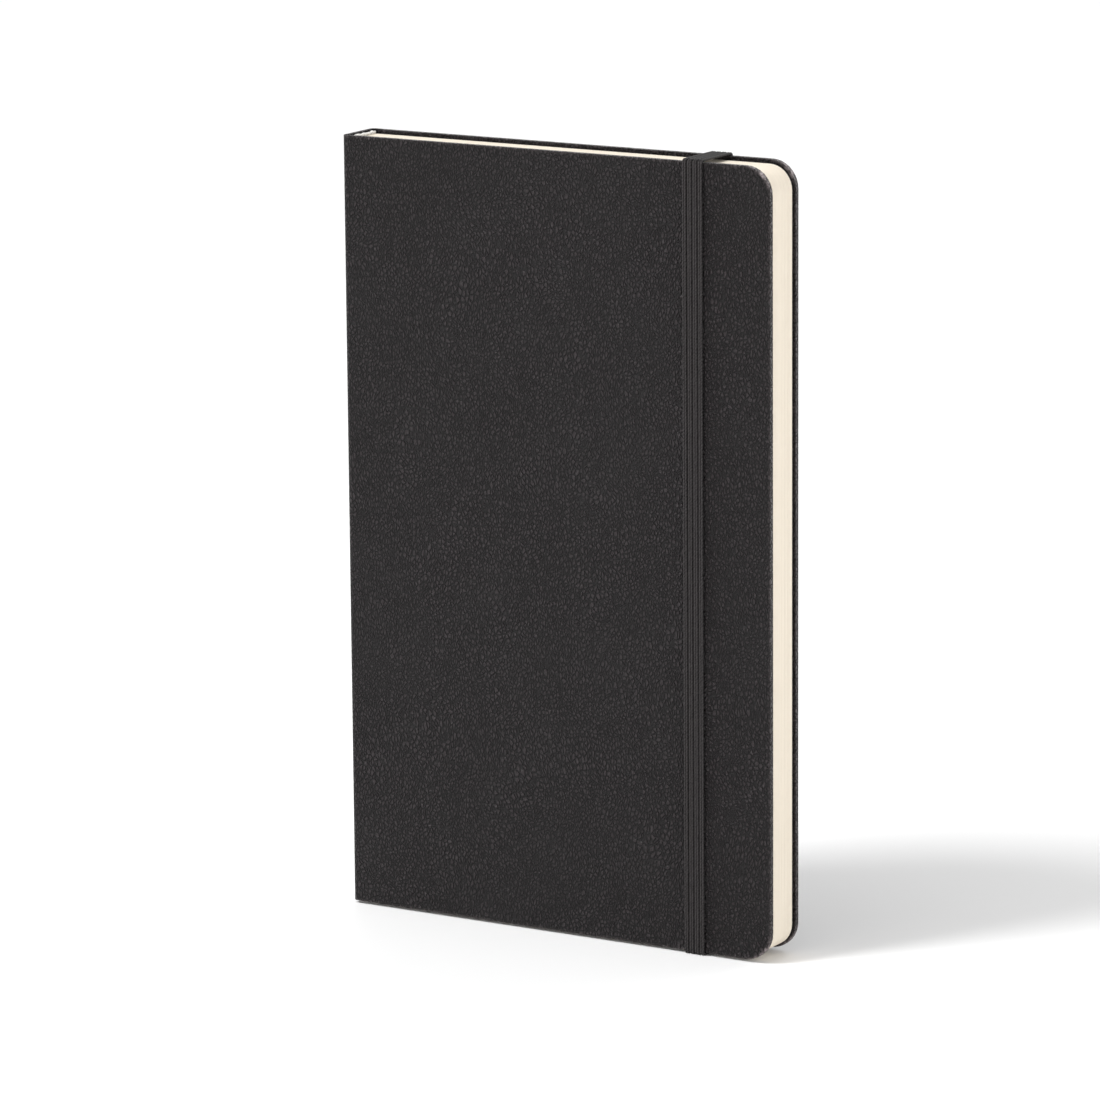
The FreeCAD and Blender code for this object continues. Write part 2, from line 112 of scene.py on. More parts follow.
class SKETCHBOOK_PG_cover(bpy.types.PropertyGroup):
    """Leatherette covers and spine."""
    corner_radius: bpy.props.FloatProperty(
        name="Corner radius", description="Radius of the two fore-edge corners",
        default=7.5 * MM, subtype="DISTANCE")
    edge_round: bpy.props.FloatProperty(
        name="Edge round", description="Rounding where the leatherette wraps the board",
        default=0.6 * MM, subtype="DISTANCE")
    spine_round_x: bpy.props.FloatProperty(
        name="Spine round, across", default=1.7 * MM, subtype="DISTANCE",
        description="How far the spine corner curves in along the cover")
    spine_round_y: bpy.props.FloatProperty(
        name="Spine round, deep", default=1.5 * MM, subtype="DISTANCE",
        description="How far the spine corner curves in along the spine")
    hinge_thickness: bpy.props.FloatProperty(
        name="Hinge thickness", default=0.5 * MM, subtype="DISTANCE",
        description="Leatherette and its lining between the spine and the board")
    colour: bpy.props.FloatVectorProperty(
        name="Leatherette", description="Colour of the leatherette", size=3,
        default=(0.0125, 0.0095, 0.0104), subtype="COLOR")
    # The worn colour also paints a highlight on the rounded corners, where the edge would catch
    # the light.
    worn_and_highlit_colour: bpy.props.FloatVectorProperty(
        name="Worn and highlit leatherette", description="Colour of the worn edges, which also paints a highlight on them", size=3,
        default=(0.36, 0.30, 0.305), subtype="COLOR")
    # This width also bounds the painted highlight at the corners.
    wear_and_highlight_width: bpy.props.FloatProperty(
        name="Wear and highlight width", description="How far the wear and its painted highlight reach in from an edge",
        default=0.8 * MM, subtype="DISTANCE")
    grain: bpy.props.FloatProperty(
        name="Grain", description="Width of one pebble of the grain",
        default=1.05 * MM, subtype="DISTANCE")
    grain_depth: bpy.props.FloatProperty(
        name="Grain depth", description="Height of the grain", default=0.8 * MM,
        subtype="DISTANCE")
    pleats: bpy.props.IntProperty(
        name="Pleats", description="Gathers of leatherette inside each corner", default=8)


class SKETCHBOOK_PG_paper(bpy.types.PropertyGroup):
    """Leaves and endpapers."""
    page_colour: bpy.props.FloatVectorProperty(
        name="Pages", description="Colour of the drawing paper", size=3,
        default=(0.86, 0.78, 0.66), subtype="COLOR")
    endpaper_colour: bpy.props.FloatVectorProperty(
        name="Endpapers", description="Colour of the endpapers", size=3,
        default=(0.83, 0.76, 0.65), subtype="COLOR")
    leaf_thickness: bpy.props.FloatProperty(
        name="Leaf thickness", description="Thickness of one leaf", default=0.19 * MM,
        subtype="DISTANCE")
    leaf_pitch: bpy.props.FloatProperty(
        name="Leaf pitch", description="From one leaf to the next", default=0.2 * MM,
        subtype="DISTANCE")
    endpaper_thickness: bpy.props.FloatProperty(
        name="Endpaper thickness", description="Thickness of the pastedowns and flyleaves",
        default=0.14 * MM, subtype="DISTANCE")
    corner_radius: bpy.props.FloatProperty(
        name="Page corner radius", description="Radius of the pages' fore-edge corners",
        default=6.5 * MM, subtype="DISTANCE")
    unevenness: bpy.props.FloatProperty(
        name="Unevenness", description="How far trimmed leaves stray at the edges",
        default=0.06 * MM, subtype="DISTANCE")


class SKETCHBOOK_PG_binding(bpy.types.PropertyGroup):
    """Headbands and pocket gussets."""
    bead_radius: bpy.props.FloatProperty(
        name="Bead radius", description="Radius of the headbands' wound bead",
        default=0.45 * MM, subtype="DISTANCE")
    bead_turns: bpy.props.IntProperty(
        name="Bead turns", description="Turns of thread round each bead", default=12)
    gusset_width: bpy.props.FloatProperty(
        name="Gusset width", description="Depth of the pocket's folded cloth ends",
        default=8 * MM, subtype="DISTANCE")
    gusset_thickness: bpy.props.FloatProperty(
        name="Gusset thickness", description="Thickness of the gussets' cloth",
        default=0.12 * MM, subtype="DISTANCE")


class SKETCHBOOK_PG_band(bpy.types.PropertyGroup):
    """Elastic closure band."""
    ribs: bpy.props.IntProperty(
        name="Ribs", description="Number of ribs across the band", default=4)
    groove: bpy.props.FloatProperty(
        name="Groove", description="Width of the groove between two ribs",
        default=0.4 * MM, subtype="DISTANCE")
    rib_height: bpy.props.FloatProperty(
        name="Rib height", description="How far a rib stands above its groove",
        default=0.48 * MM, subtype="DISTANCE")
    bend: bpy.props.FloatProperty(
        name="Bend", description="Radius of the band where it turns over the covers",
        default=1.1 * MM, subtype="DISTANCE")
    tail: bpy.props.FloatProperty(
        name="Tail", description="From the back cover's end to the slot that takes the band",
        default=15 * MM, subtype="DISTANCE")
    colour: bpy.props.FloatVectorProperty(
        name="Band", description="Colour of the elastic", size=3,
        default=(0.0165, 0.0145, 0.0147), subtype="COLOR")


class SKETCHBOOK_PG_stage(bpy.types.PropertyGroup):
    """Camera, floor and light."""
    azimuth: bpy.props.FloatProperty(
        name="Azimuth", description="Camera's turn round the book", default=math.radians(30.88),
        subtype="ANGLE")
    elevation: bpy.props.FloatProperty(
        name="Elevation", description="Camera's height above the book", subtype="ANGLE",
        default=math.radians(11.75))
    distance: bpy.props.FloatProperty(
        name="Distance", description="Camera to the middle of the book", default=1.624,
        subtype="DISTANCE")
    lens: bpy.props.FloatProperty(
        name="Lens", description="Focal length on a 36 mm sensor, in millimetres",
        default=200.8)
    floor_colour: bpy.props.FloatVectorProperty(
        name="Floor", description="Colour of the floor", size=3,
        default=(0.96, 0.96, 0.96), subtype="COLOR")


GROUPS = {
    "cover": SKETCHBOOK_PG_cover,
    "paper": SKETCHBOOK_PG_paper,
    "binding": SKETCHBOOK_PG_binding,
    "band": SKETCHBOOK_PG_band,
    "stage": SKETCHBOOK_PG_stage,
}


def settings(group):
    """The values of one property group."""
    return getattr(bpy.context.scene, "sketchbook_" + group)


# --- mesh helpers --------------------------------------------------------------------

def finish_piece(name, bm, material, smooth=True):
    """Turn a bmesh into an object of the scene, with its normals outwards."""
    bmesh.ops.remove_doubles(bm, verts=bm.verts, dist=1e-7)
    bmesh.ops.recalc_face_normals(bm, faces=bm.faces)
    mesh = bpy.data.meshes.new(name)
    bm.to_mesh(mesh)
    bm.free()
    for polygon in mesh.polygons:
        polygon.use_smooth = smooth
    piece = bpy.data.objects.new(name, mesh)
    bpy.context.scene.collection.objects.link(piece)
    mesh.materials.append(material)
    return piece


def only(kind, made):
    """The vertices, edges or faces among the things that an operator made."""
    return [item for item in made if isinstance(item, kind)]


def far_edges(made, verts):
    """Edges of an extrusion that run between its new vertices."""
    new = set(verts)
    return [edge for edge in only(bmesh.types.BMEdge, made)
            if edge.verts[0] in new and edge.verts[1] in new]


def upright_edge(bm, x, y, low_z, high_z):
    """An upright edge to start a sheet from."""
    verts = [bm.verts.new((x, y, z)) for z in (low_z, high_z)]
    return [bm.edges.new(verts)]


def extend(bm, edges, dx, dy, scale_z=1.0):
    """Extrude edges sideways, and scale the new ones about the book's mid-height."""
    made = bmesh.ops.extrude_edge_only(bm, edges=edges)["geom"]
    verts = only(bmesh.types.BMVert, made)
    bmesh.ops.translate(bm, verts=verts, vec=(dx, dy, 0))
    about = Matrix.Translation((0, 0, -MIDDLE_Z))
    bmesh.ops.scale(bm, verts=verts, vec=(1, 1, scale_z), space=about)
    return far_edges(made, verts)


def extend_evenly(bm, edges, dx, dy, columns):
    """Extrude edges sideways in equal columns."""
    for _ in range(columns):
        edges = extend(bm, edges, dx / columns, dy / columns)
    return edges


def corner_steps(radius, half_height, count=9):
    """Steps along X, and scales along Z, that round a sheet's two fore-edge corners."""
    past_x, past_z = 0.0, half_height
    for step in range(1, count + 1):
        turn = QUARTER_TURN * step / count
        x = radius * math.sin(turn)
        z = half_height - radius + radius * math.cos(turn)
        yield x - past_x, z / past_z
        past_x, past_z = x, z


def add_solidify(piece, thickness, offset=-1.0, group=""):
    """Give a sheet its thickness, behind its outer face."""
    solid = piece.modifiers.new("thickness", "SOLIDIFY")
    solid.thickness = thickness
    solid.offset = offset
    solid.use_even_offset = True
    solid.vertex_group = group


def add_bevel(piece, width):
    """Round a piece's sharp edges."""
    bevel = piece.modifiers.new("rounded edges", "BEVEL")
    bevel.width = width
    bevel.segments = 5
    bevel.limit_method = "ANGLE"
    bevel.angle_limit = math.radians(40)
    weighted = piece.modifiers.new("even shading", "WEIGHTED_NORMAL")
    weighted.keep_sharp = True


# --- materials -----------------------------------------------------------------------

SURFACE = {
    "colour": "Base Color",
    "roughness": "Roughness",
    "gloss": "Specular IOR Level",
    "sheen": "Sheen Weight",
}


class Nodes:
    """Short calls for building one material's node tree."""

    def __init__(self, name, **surface):
        self.material = bpy.data.materials.new(name)
        self.material.use_nodes = True
        self.tree = self.material.node_tree
        self.shader = self.tree.nodes["Principled BSDF"]
        for key, value in surface.items():
            socket = self.shader.inputs[SURFACE[key]]
            socket.default_value = (*value, 1.0) if key == "colour" else value
        coordinates = self.tree.nodes.new("ShaderNodeTexCoord")
        self.place = coordinates.outputs["Object"]
        self.uv = coordinates.outputs["UV"]

    def add(self, kind, inputs, **properties):
        """A node with its properties set, and its inputs set or linked."""
        node = self.tree.nodes.new(kind)
        for key, value in properties.items():
            setattr(node, key, value)
        for key, value in inputs.items():
            if isinstance(value, bpy.types.NodeSocket):
                self.tree.links.new(value, node.inputs[key])
            else:
                node.inputs[key].default_value = value
        return node

    def finish(self, colour, height, depth, roughness=None):
        """Link the worked-out colour, bump and roughness to the shader."""
        bump = self.add("ShaderNodeBump", {"Height": height, "Distance": depth,
                                           "Strength": 1.0})
        self.tree.links.new(bump.outputs["Normal"], self.shader.inputs["Normal"])
        self.tree.links.new(colour, self.shader.inputs["Base Color"])
        if roughness:
            self.tree.links.new(roughness, self.shader.inputs["Roughness"])
        return self.material

    def mapping(self, vector, scale, lean=0.0):
        """Coordinates scaled, and leant about Y, before they reach a pattern."""
        return self.add("ShaderNodeMapping", {
            "Vector": vector, "Scale": scale, "Rotation": (0, lean, 0)}).outputs["Vector"]

    def noise(self, vector, scale, detail=2.0, roughness=0.5):
        """Cloudy noise from 0 to 1."""
        return self.add("ShaderNodeTexNoise", {
            "Vector": vector, "Scale": scale, "Detail": detail,
            "Roughness": roughness}).outputs["Fac"]

    def cell_edges(self, vector, scale):
        """How far a point is from the edge of its cell."""
        return self.add("ShaderNodeTexVoronoi", {"Vector": vector, "Scale": scale},
                        feature="DISTANCE_TO_EDGE").outputs["Distance"]

    def waves(self, vector, direction, scale, distortion=0.0, detail_scale=1.0):
        """Rows of threads or stitches, as a height from 0 to 1."""
        return self.add("ShaderNodeTexWave", {
            "Vector": vector, "Scale": scale, "Distortion": distortion,
            "Detail Scale": detail_scale}, bands_direction=direction).outputs["Fac"]

    def math(self, operation, *values):
        """One sum on numbers or outputs."""
        return self.add("ShaderNodeMath", dict(enumerate(values)),
                        operation=operation).outputs["Value"]

    def remap(self, value, taken, given=(0.0, 1.0), smooth=False):
        """A value of the taken range, brought to the given range."""
        return self.add("ShaderNodeMapRange", {
            "Value": value, "From Min": taken[0], "From Max": taken[1],
            "To Min": given[0], "To Max": given[1],
        }, interpolation_type="SMOOTHSTEP" if smooth else "LINEAR").outputs["Result"]

    def mix(self, factor, first, second):
        """Blend two colours, each a colour or an output."""
        node = self.add("ShaderNodeMix", {0: factor}, data_type="RGBA")
        for place, colour in ((6, first), (7, second)):
            if isinstance(colour, bpy.types.NodeSocket):
                self.tree.links.new(colour, node.inputs[place])
            else:
                node.inputs[place].default_value = (*colour, 1.0)
        return node.outputs[2]

    def shifted(self, vector, scale, distance):
        """Coordinates pushed about by a soft noise."""
        noise = self.add("ShaderNodeTexNoise", {"Vector": vector, "Scale": scale,
                                                "Detail": 1.0})
        return self.add("ShaderNodeVectorMath", {
            0: noise.outputs["Color"], 1: (distance, distance, distance), 2: vector,
        }, operation="MULTIPLY_ADD").outputs["Vector"]


def tint(colour, factor):
    """A colour made lighter or darker."""
    return tuple(min(1.0, part * factor) for part in colour)


MATERIALS = {}


def material(name):
    """One of this object's materials, made the first time that it is asked for."""
    if name not in MATERIALS:
        MATERIALS[name] = MAKERS[name]()
    return MATERIALS[name]


def edge_wear_and_highlight(leather):
    """How worn the leatherette is, with a painted highlight laid on the wear: most at the
    rounded corners, none on the faces.
    """
    cover = settings("cover")
    radius = cover.corner_radius
    split = leather.add("ShaderNodeSeparateXYZ", {"Vector": leather.place})
    past_x = leather.math("SUBTRACT", split.outputs["X"], FORE_X - radius)
    past_x = leather.math("MAXIMUM", past_x, 0.0)
    past_z = leather.math("SUBTRACT", split.outputs["Z"], MIDDLE_Z)
    past_z = leather.math("ABSOLUTE", past_z)
    past_z = leather.math("SUBTRACT", past_z, HALF_Z - radius)
    past_z = leather.math("MAXIMUM", past_z, 0.0)
    squares = leather.math("MULTIPLY", past_z, past_z)
    squares = leather.math("MULTIPLY_ADD", past_x, past_x, squares)
    reach = leather.math("SQRT", squares)
    near = leather.remap(reach, (radius - cover.wear_and_highlight_width, radius), smooth=True)
    corner = leather.math("MINIMUM", past_x, past_z)
    corner = leather.remap(corner, (0.0, radius * 0.7), (0.1, 1.0))
    # Broken into streaks, both of real wear and of the painted highlight.
    worn_and_lit = leather.noise(leather.place, 600, 3.0, 0.6)
    worn_and_lit = leather.remap(worn_and_lit, (0.42, 0.60), (0.2, 1.0))
    return leather.math("MULTIPLY", leather.math("MULTIPLY", near, corner), worn_and_lit)


def make_leatherette():
    """Pebbled leatherette, whose grain leans to one side, drifts, and comes and goes."""
    cover = settings("cover")
    grain = cover.grain
    leather = Nodes("leatherette", gloss=0.275)
    drift = leather.shifted(leather.place, 38, 9 * MM)
    uneven = leather.shifted(drift, 0.9 / grain, 0.5 * grain)
    lean = leather.mapping(uneven, (1.2, 1.0, 0.8), math.radians(30))
    pebbles = leather.remap(leather.cell_edges(lean, 1 / grain), (0.0, 0.26), smooth=True)
    fine = leather.noise(lean, 1.9 / grain, 3.0, 0.55)
    height = leather.math("MULTIPLY_ADD", fine, 0.9, pebbles)
    patches = leather.noise(leather.place, 55, 3.0)
    strength = leather.remap(patches, (0.36, 0.62), (0.65, 1.0))
    # Lighter on the pebbles' tops and darker in the crevices between them: painted highlight
    # and painted shade, in patches of stronger and weaker grain.
    shade = leather.math("MULTIPLY", leather.remap(height, (0.65, 1.55)), strength)
    clean = leather.mix(shade, tint(cover.colour, 0.4), tint(cover.colour, 1.95))
    # The rounded corners are lightened towards the worn colour: real wear plus a painted
    # highlight.
    return leather.finish(
        colour=leather.mix(edge_wear_and_highlight(leather), clean, cover.worn_and_highlit_colour),
        height=leather.math("MULTIPLY", height, strength), depth=cover.grain_depth,
        roughness=leather.remap(height, (0.4, 1.5), (0.6, 0.3)))


def make_paper(name, colour, stripe):
    """Uncoated paper: soft fibres, and a faint change from leaf to leaf."""
    paper = Nodes(name, roughness=0.88, gloss=0.22)
    leaves = paper.mapping(paper.place, (8.0, 1 / stripe, 8.0))
    fibres = paper.noise(paper.place, 900, 4.0, 0.65)
    shade = paper.math("MULTIPLY_ADD", fibres, 0.35, paper.noise(leaves, 0.5, 1.0))
    return paper.finish(
        colour=paper.mix(paper.remap(shade, (0.35, 1.0)), tint(colour, 0.955),
                         tint(colour, 1.03)),
        height=fibres, depth=0.012 * MM)


def make_pages():
    """Drawing paper, striped from leaf to leaf."""
    paper = settings("paper")
    return make_paper("drawing_paper", paper.page_colour, paper.leaf_pitch)


def make_endpaper():
    """Endpaper, which is one sheet and so has only broad, faint clouds."""
    return make_paper("endpaper", settings("paper").endpaper_colour, 10 * MM)


def make_elastic_knit():
    """Knitted elastic: rows of small uneven stitches along each strand."""
    colour = settings("band").colour
    knit = Nodes("elastic_knit", roughness=0.7, gloss=0.28, sheen=0.05)
    stitch = knit.waves(knit.uv, "DIAGONAL", 700, distortion=5.0, detail_scale=2.5)
    fuzz = knit.noise(knit.place, 1900, 3.0, 0.7)
    height = knit.math("MULTIPLY_ADD", stitch, 0.5, fuzz)
    # Darker in the stitches' hollows and lighter on their tops: painted shade and painted
    # highlight.
    return knit.finish(
        colour=knit.mix(knit.remap(height, (0.4, 1.1)), tint(colour, 0.4), tint(colour, 2.6)),
        height=height, depth=0.09 * MM)


def make_cloth(name, colour, thread, depth):
    """Plain woven cloth, from two crossed rows of threads."""
    cloth = Nodes(name, roughness=0.85, sheen=0.15)
    scale = 1 / thread / 6.28
    rows = [cloth.waves(cloth.place, direction, scale, distortion=0.6)
            for direction in ("Y", "Z")]
    height = cloth.math("MAXIMUM", *rows)
    # Darker where the threads dip between the crossing rows: painted shade.
    return cloth.finish(colour=cloth.mix(height, tint(colour, 0.7), colour),
                        height=height, depth=depth)


def make_board(name, colour):
    """Pressed grey or brown board with short dark fibres."""
    board = Nodes(name, roughness=0.9)
    flecks = board.noise(board.mapping(board.place, (1.0, 1.0, 3.0)), 1500, 5.0, 0.7)
    shade = board.math("MULTIPLY", flecks, board.noise(board.place, 120, 2.0))
    return board.finish(
        colour=board.mix(board.remap(shade, (0.15, 0.4)), tint(colour, 0.75),
                         tint(colour, 1.1)),
        height=flecks, depth=0.03 * MM)


def make_thread():
    """Twisted linen thread with a light wax."""
    thread = Nodes("linen_thread", roughness=0.6)
    twist = thread.waves(thread.place, "DIAGONAL", 900)
    # Darker in the grooves of the twist: painted shade.
    return thread.finish(colour=thread.mix(twist, (0.55, 0.5, 0.4), (0.86, 0.82, 0.72)),
                         height=twist, depth=0.03 * MM)


MAKERS = {
    "leatherette": make_leatherette,
    "drawing_paper": make_pages,
    "endpaper": make_endpaper,
    "elastic_knit": make_elastic_knit,
    "headband_cloth": lambda: make_cloth("headband_cloth", (0.86, 0.84, 0.8),
                                         0.3 * MM, 0.05 * MM),
    "gauze": lambda: make_cloth("gauze", (0.8, 0.77, 0.68), 0.8 * MM, 0.1 * MM),
    "gusset_cloth": lambda: make_cloth("gusset_cloth", (0.03, 0.03, 0.031),
                                       0.35 * MM, 0.04 * MM),
    "greyboard": lambda: make_board("greyboard", (0.24, 0.23, 0.21)),
    "spine_card": lambda: make_board("spine_card", (0.36, 0.31, 0.24)),
    "linen_thread": make_thread,
}


# --- covers and spine ----------------------------------------------------------------

def cover_sheet(name, side):
    """The leatherette of one cover and of half the spine, as a bent sheet."""
    cover = settings("cover")
    round_x, round_y = cover.spine_round_x, cover.spine_round_y
    bm = bmesh.new()
    edges = upright_edge(bm, SPINE_X, 0, BOTTOM_Z, TOP_Z)
    edges = extend_evenly(bm, edges, 0, round_y - OUTER_Y, columns=4)
    past_x, past_y = 0.0, 0.0
    steps = 10
    for step in range(1, steps + 1):
        turn = QUARTER_TURN * step / steps
        x, y = round_x * (1 - math.cos(turn)), round_y * math.sin(turn)
        edges = extend(bm, edges, x - past_x, past_y - y)
        past_x, past_y = x, y
    board_edge = 2 * MM
    edges = extend(bm, edges, BOARD_X - SPINE_X - round_x, 0)
    edges = extend(bm, edges, board_edge, 0)
    span = FORE_X - cover.corner_radius - BOARD_X - board_edge
    edges = extend_evenly(bm, edges, span, 0, columns=6)
    for dx, scale in corner_steps(cover.corner_radius, HALF_Z):
        edges = extend(bm, edges, dx, 0, scale)
    if side == BACK:
        bmesh.ops.scale(bm, verts=bm.verts, vec=(1, -1, 1))
    piece = finish_piece(name, bm, material("leatherette"))
    aim_faces(piece, Vector((0, side, 0)))
    return piece


def wrap_cover(piece):
    """Give the sheet the thickness of the board, the hinge or the spine that it covers."""
    cover = settings("cover")
    full = OUTER_Y - TURNED_Y
    close = 0.1 * MM
    weights = piece.vertex_groups.new(name="thickness")
    for vertex in piece.data.vertices:
        if vertex.co.x - SPINE_X < close:
            thickness = SPINE_HIGH.x - SPINE_X
        elif vertex.co.x < BOARD_X - close:
            thickness = cover.hinge_thickness
        else:
            thickness = full
        weights.add([vertex.index], thickness / full, "REPLACE")
    add_solidify(piece, full, group=weights.name)
    add_bevel(piece, cover.edge_round)


def aim_faces(piece, outward):
    """Turn a sheet's faces over if its largest one looks away from the given side."""
    largest = max(piece.data.polygons, key=lambda polygon: polygon.area)
    if largest.normal.dot(outward) < 0:
        piece.data.flip_normals()


class SKETCHBOOK_OT_covers(bpy.types.Operator):
    """Build the leatherette of both covers and the spine"""
    bl_idname = "sketchbook.covers"
    bl_label = "Covers"

    def execute(self, context):
        for side, word in ((FRONT, "front"), (BACK, "back")):
            piece = cover_sheet(word + "_leatherette", side)
            wrap_cover(piece)
            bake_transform(piece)
            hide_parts(word + "_cover_skin", "spine_skin")
        return {"FINISHED"}


# The least and most that one gather measures, and the degrees of the corner that they fill.
PLEAT_LENGTHS = (2.6 * MM, 4.2 * MM)
PLEAT_HEIGHTS = (0.26 * MM, 0.42 * MM)
PLEAT_WIDTHS = (0.4 * MM, 0.62 * MM)
PLEAT_ENDS = (-0.2 * MM, 0.16 * MM)
PLEAT_RISE = 0.12 * MM
FIRST_PLEAT = 9
PLEATED_ARC = 72


def add_pleat(bm, centre, turn, side, end, chance):
    """One gather of leatherette: a long low lump that points at the corner's centre."""
    spoke = Vector((math.cos(turn), 0, end * math.sin(turn)))
    length = chance.uniform(*PLEAT_LENGTHS)
    reach = settings("cover").corner_radius + chance.uniform(*PLEAT_ENDS)
    place = Vector((centre.x, side * (TURNED_Y + PLEAT_RISE), centre.z))
    place += spoke * (reach - length / 2)
    made = bmesh.ops.create_icosphere(bm, subdivisions=2, radius=1.0)["verts"]
    sizes = (length / 2, chance.uniform(*PLEAT_HEIGHTS), chance.uniform(*PLEAT_WIDTHS))
    aim = Matrix.Rotation(-math.atan2(spoke.z, spoke.x), 3, "Y")
    bmesh.ops.scale(bm, verts=made, vec=sizes)
    bmesh.ops.rotate(bm, verts=made, matrix=aim)
    bmesh.ops.translate(bm, verts=made, vec=place)


class SKETCHBOOK_OT_corner_pleats(bpy.types.Operator):
    """Build the gathered leatherette inside each rounded corner of the covers"""
    bl_idname = "sketchbook.corner_pleats"
    bl_label = "Corner pleats"

    def execute(self, context):
        cover = settings("cover")
        chance = random.Random(11)
        for side, word in ((FRONT, "front"), (BACK, "back")):
            bm = bmesh.new()
            for end in (FOOT, HEAD):
                centre = Vector((FORE_X - cover.corner_radius, 0,
                                 MIDDLE_Z + end * (HALF_Z - cover.corner_radius)))
                for number in range(cover.pleats):
                    share = (number + chance.uniform(-0.3, 0.3)) / (cover.pleats - 1)
                    turn = math.radians(FIRST_PLEAT + PLEATED_ARC * share)
                    add_pleat(bm, centre, turn, side, end, chance)
            piece = finish_piece(word + "_corner_pleats", bm, material("leatherette"))
            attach(piece, word + "_cover")
        return {"FINISHED"}


# --- endpapers -----------------------------------------------------------------------

def leaf_sheet(bm, y, start_x, end_x, low_z, high_z, radius, bend_to, columns=14):
    """One flat leaf with rounded fore-edge corners, and closer columns where it bends."""
    first = upright_edge(bm, start_x, y, low_z, high_z)
    edges = extend_evenly(bm, first, bend_to - start_x, 0, columns)
    edges = extend(bm, edges, end_x - radius - bend_to, 0)
    for dx, scale in corner_steps(radius, (high_z - low_z) / 2):
        edges = extend(bm, edges, dx, 0, scale)
    return first


class SKETCHBOOK_OT_endpapers(bpy.types.Operator):
    """Build the pastedowns and the flyleaves, joined at the spine"""
    bl_idname = "sketchbook.endpapers"
    bl_label = "Endpapers"

    def execute(self, context):
        for side, word, leaf in ((FRONT, "front", FRONT_FLY), (BACK, "back", BACK_FLY)):
            self.build_pastedown(side, word)
            self.build_flyleaf(word, *leaf)
        return {"FINISHED"}

    def build_pastedown(self, side, word):
        """The half of the endpaper that is glued to the cover."""
        thickness = settings("paper").endpaper_thickness
        radius = settings("cover").corner_radius - (PASTE_LOW.z - BOTTOM_Z)
        bm = bmesh.new()
        leaf_sheet(bm, side * (INSIDE_Y + thickness / 2), FOLD_X, PASTE_HIGH.x,
                   PASTE_LOW.z, PASTE_HIGH.z, radius, bend_to=FOLD_X + 1.0 * MM, columns=18)
        paste = finish_piece(word + "_endpaper_pasted", bm, material("endpaper"))
        add_solidify(paste, thickness, offset=0)
        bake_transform(paste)
        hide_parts(word + "_pastedown")

    def build_flyleaf(self, word, low, high):
        """The half of the endpaper that turns."""
        paper = settings("paper")
        bm = bmesh.new()
        leaf_sheet(bm, (low.y + high.y) / 2, FOLD_X, high.x, low.z, high.z,
                   paper.corner_radius, bend_to=LEAF_X)
        fly = finish_piece(word + "_flyleaf_sheet", bm, material("endpaper"))
        add_solidify(fly, paper.endpaper_thickness, offset=0)
        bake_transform(fly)
        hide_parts(word + "_flyleaf", word + "_endpaper_fold")


# --- page block ----------------------------------------------------------------------

def folded_sheet(bm, middle_y, gap, reach, low_z, high_z, radius):
    """Two leaves of one folded sheet, gap either side of the section's middle."""
    fold_radius = 0.5 * MM
    fold_centre = FOLD_X + fold_radius
    sheet = bmesh.new()
    fold = leaf_sheet(sheet, -gap, fold_centre, reach, low_z, high_z, radius, bend_to=LEAF_X)
    whole = sheet.verts[:] + sheet.edges[:] + sheet.faces[:]
    copy = bmesh.ops.duplicate(sheet, geom=whole)["geom"]
    bmesh.ops.scale(sheet, verts=only(bmesh.types.BMVert, copy), vec=(1, -1, 1))
    corners = [vert for edge in fold for vert in edge.verts]
    bmesh.ops.spin(sheet, geom=fold + corners, cent=(fold_centre, 0, 0), axis=(0, 0, 1),
                   angle=-math.pi, steps=6)
    bmesh.ops.remove_doubles(sheet, verts=sheet.verts, dist=1e-6)
    bmesh.ops.translate(sheet, verts=sheet.verts, vec=(0, middle_y, 0))
    bmesh.ops.recalc_face_normals(sheet, faces=sheet.faces)
    mesh = bpy.data.meshes.new("sheet")
    sheet.to_mesh(mesh)
    sheet.free()
    bm.from_mesh(mesh)
    bpy.data.meshes.remove(mesh)


class SKETCHBOOK_OT_sections(bpy.types.Operator):
    """Build the sewn sections, each of two folded sheets"""
    bl_idname = "sketchbook.sections"
    bl_label = "Sections"

    def execute(self, context):
        paper = settings("paper")
        chance = random.Random(7)
        for name in SECTIONS:
            low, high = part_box(name)
            middle_y = (low.y + high.y) / 2
            bm = bmesh.new()
            for fold in (0.5, 1.5):
                stray = chance.uniform(-1, 0.4) * paper.unevenness
                folded_sheet(bm, middle_y, fold * paper.leaf_pitch, high.x + stray,
                             low.z, high.z, paper.corner_radius)
            piece = finish_piece(name + "_leaves", bm, material("drawing_paper"))
            add_solidify(piece, paper.leaf_thickness, offset=0)
            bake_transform(piece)
            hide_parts(name, "section_gutters", "section_folds")
        return {"FINISHED"}


# --- headbands and binding -----------------------------------------------------------

def add_bead(bm, x, z, low_y, span, end, chance):
    """The lumpy turns of thread of one headband, wound round a straight core."""
    binding = settings("binding")
    radius, turns = binding.bead_radius, binding.bead_turns
    pitch = span / turns
    for turn in range(turns):
        made = bmesh.ops.create_uvsphere(bm, u_segments=14, v_segments=10, radius=1.0)["verts"]
        size = radius * chance.uniform(0.85, 1.3)
        lean = Matrix.Rotation(chance.uniform(0.2, 0.7), 3, "Z")
        place = (x + chance.uniform(-0.1, 0.1) * MM, low_y + span * (turn + 0.5) / turns,
                 z - end * chance.uniform(0, 0.15) * MM)
        bmesh.ops.scale(bm, verts=made, vec=(size * 1.25, pitch * 0.58, size))
        bmesh.ops.rotate(bm, verts=made, matrix=lean)
        bmesh.ops.translate(bm, verts=made, vec=place)
    core_radius = radius * 0.8
    core = bmesh.ops.create_cone(bm, cap_ends=True, segments=16, radius1=core_radius,
                                 radius2=core_radius, depth=span)["verts"]
    bmesh.ops.rotate(bm, verts=core, matrix=Matrix.Rotation(QUARTER_TURN, 3, "X"))
    bmesh.ops.translate(bm, verts=core, vec=(x, low_y + span / 2, z))


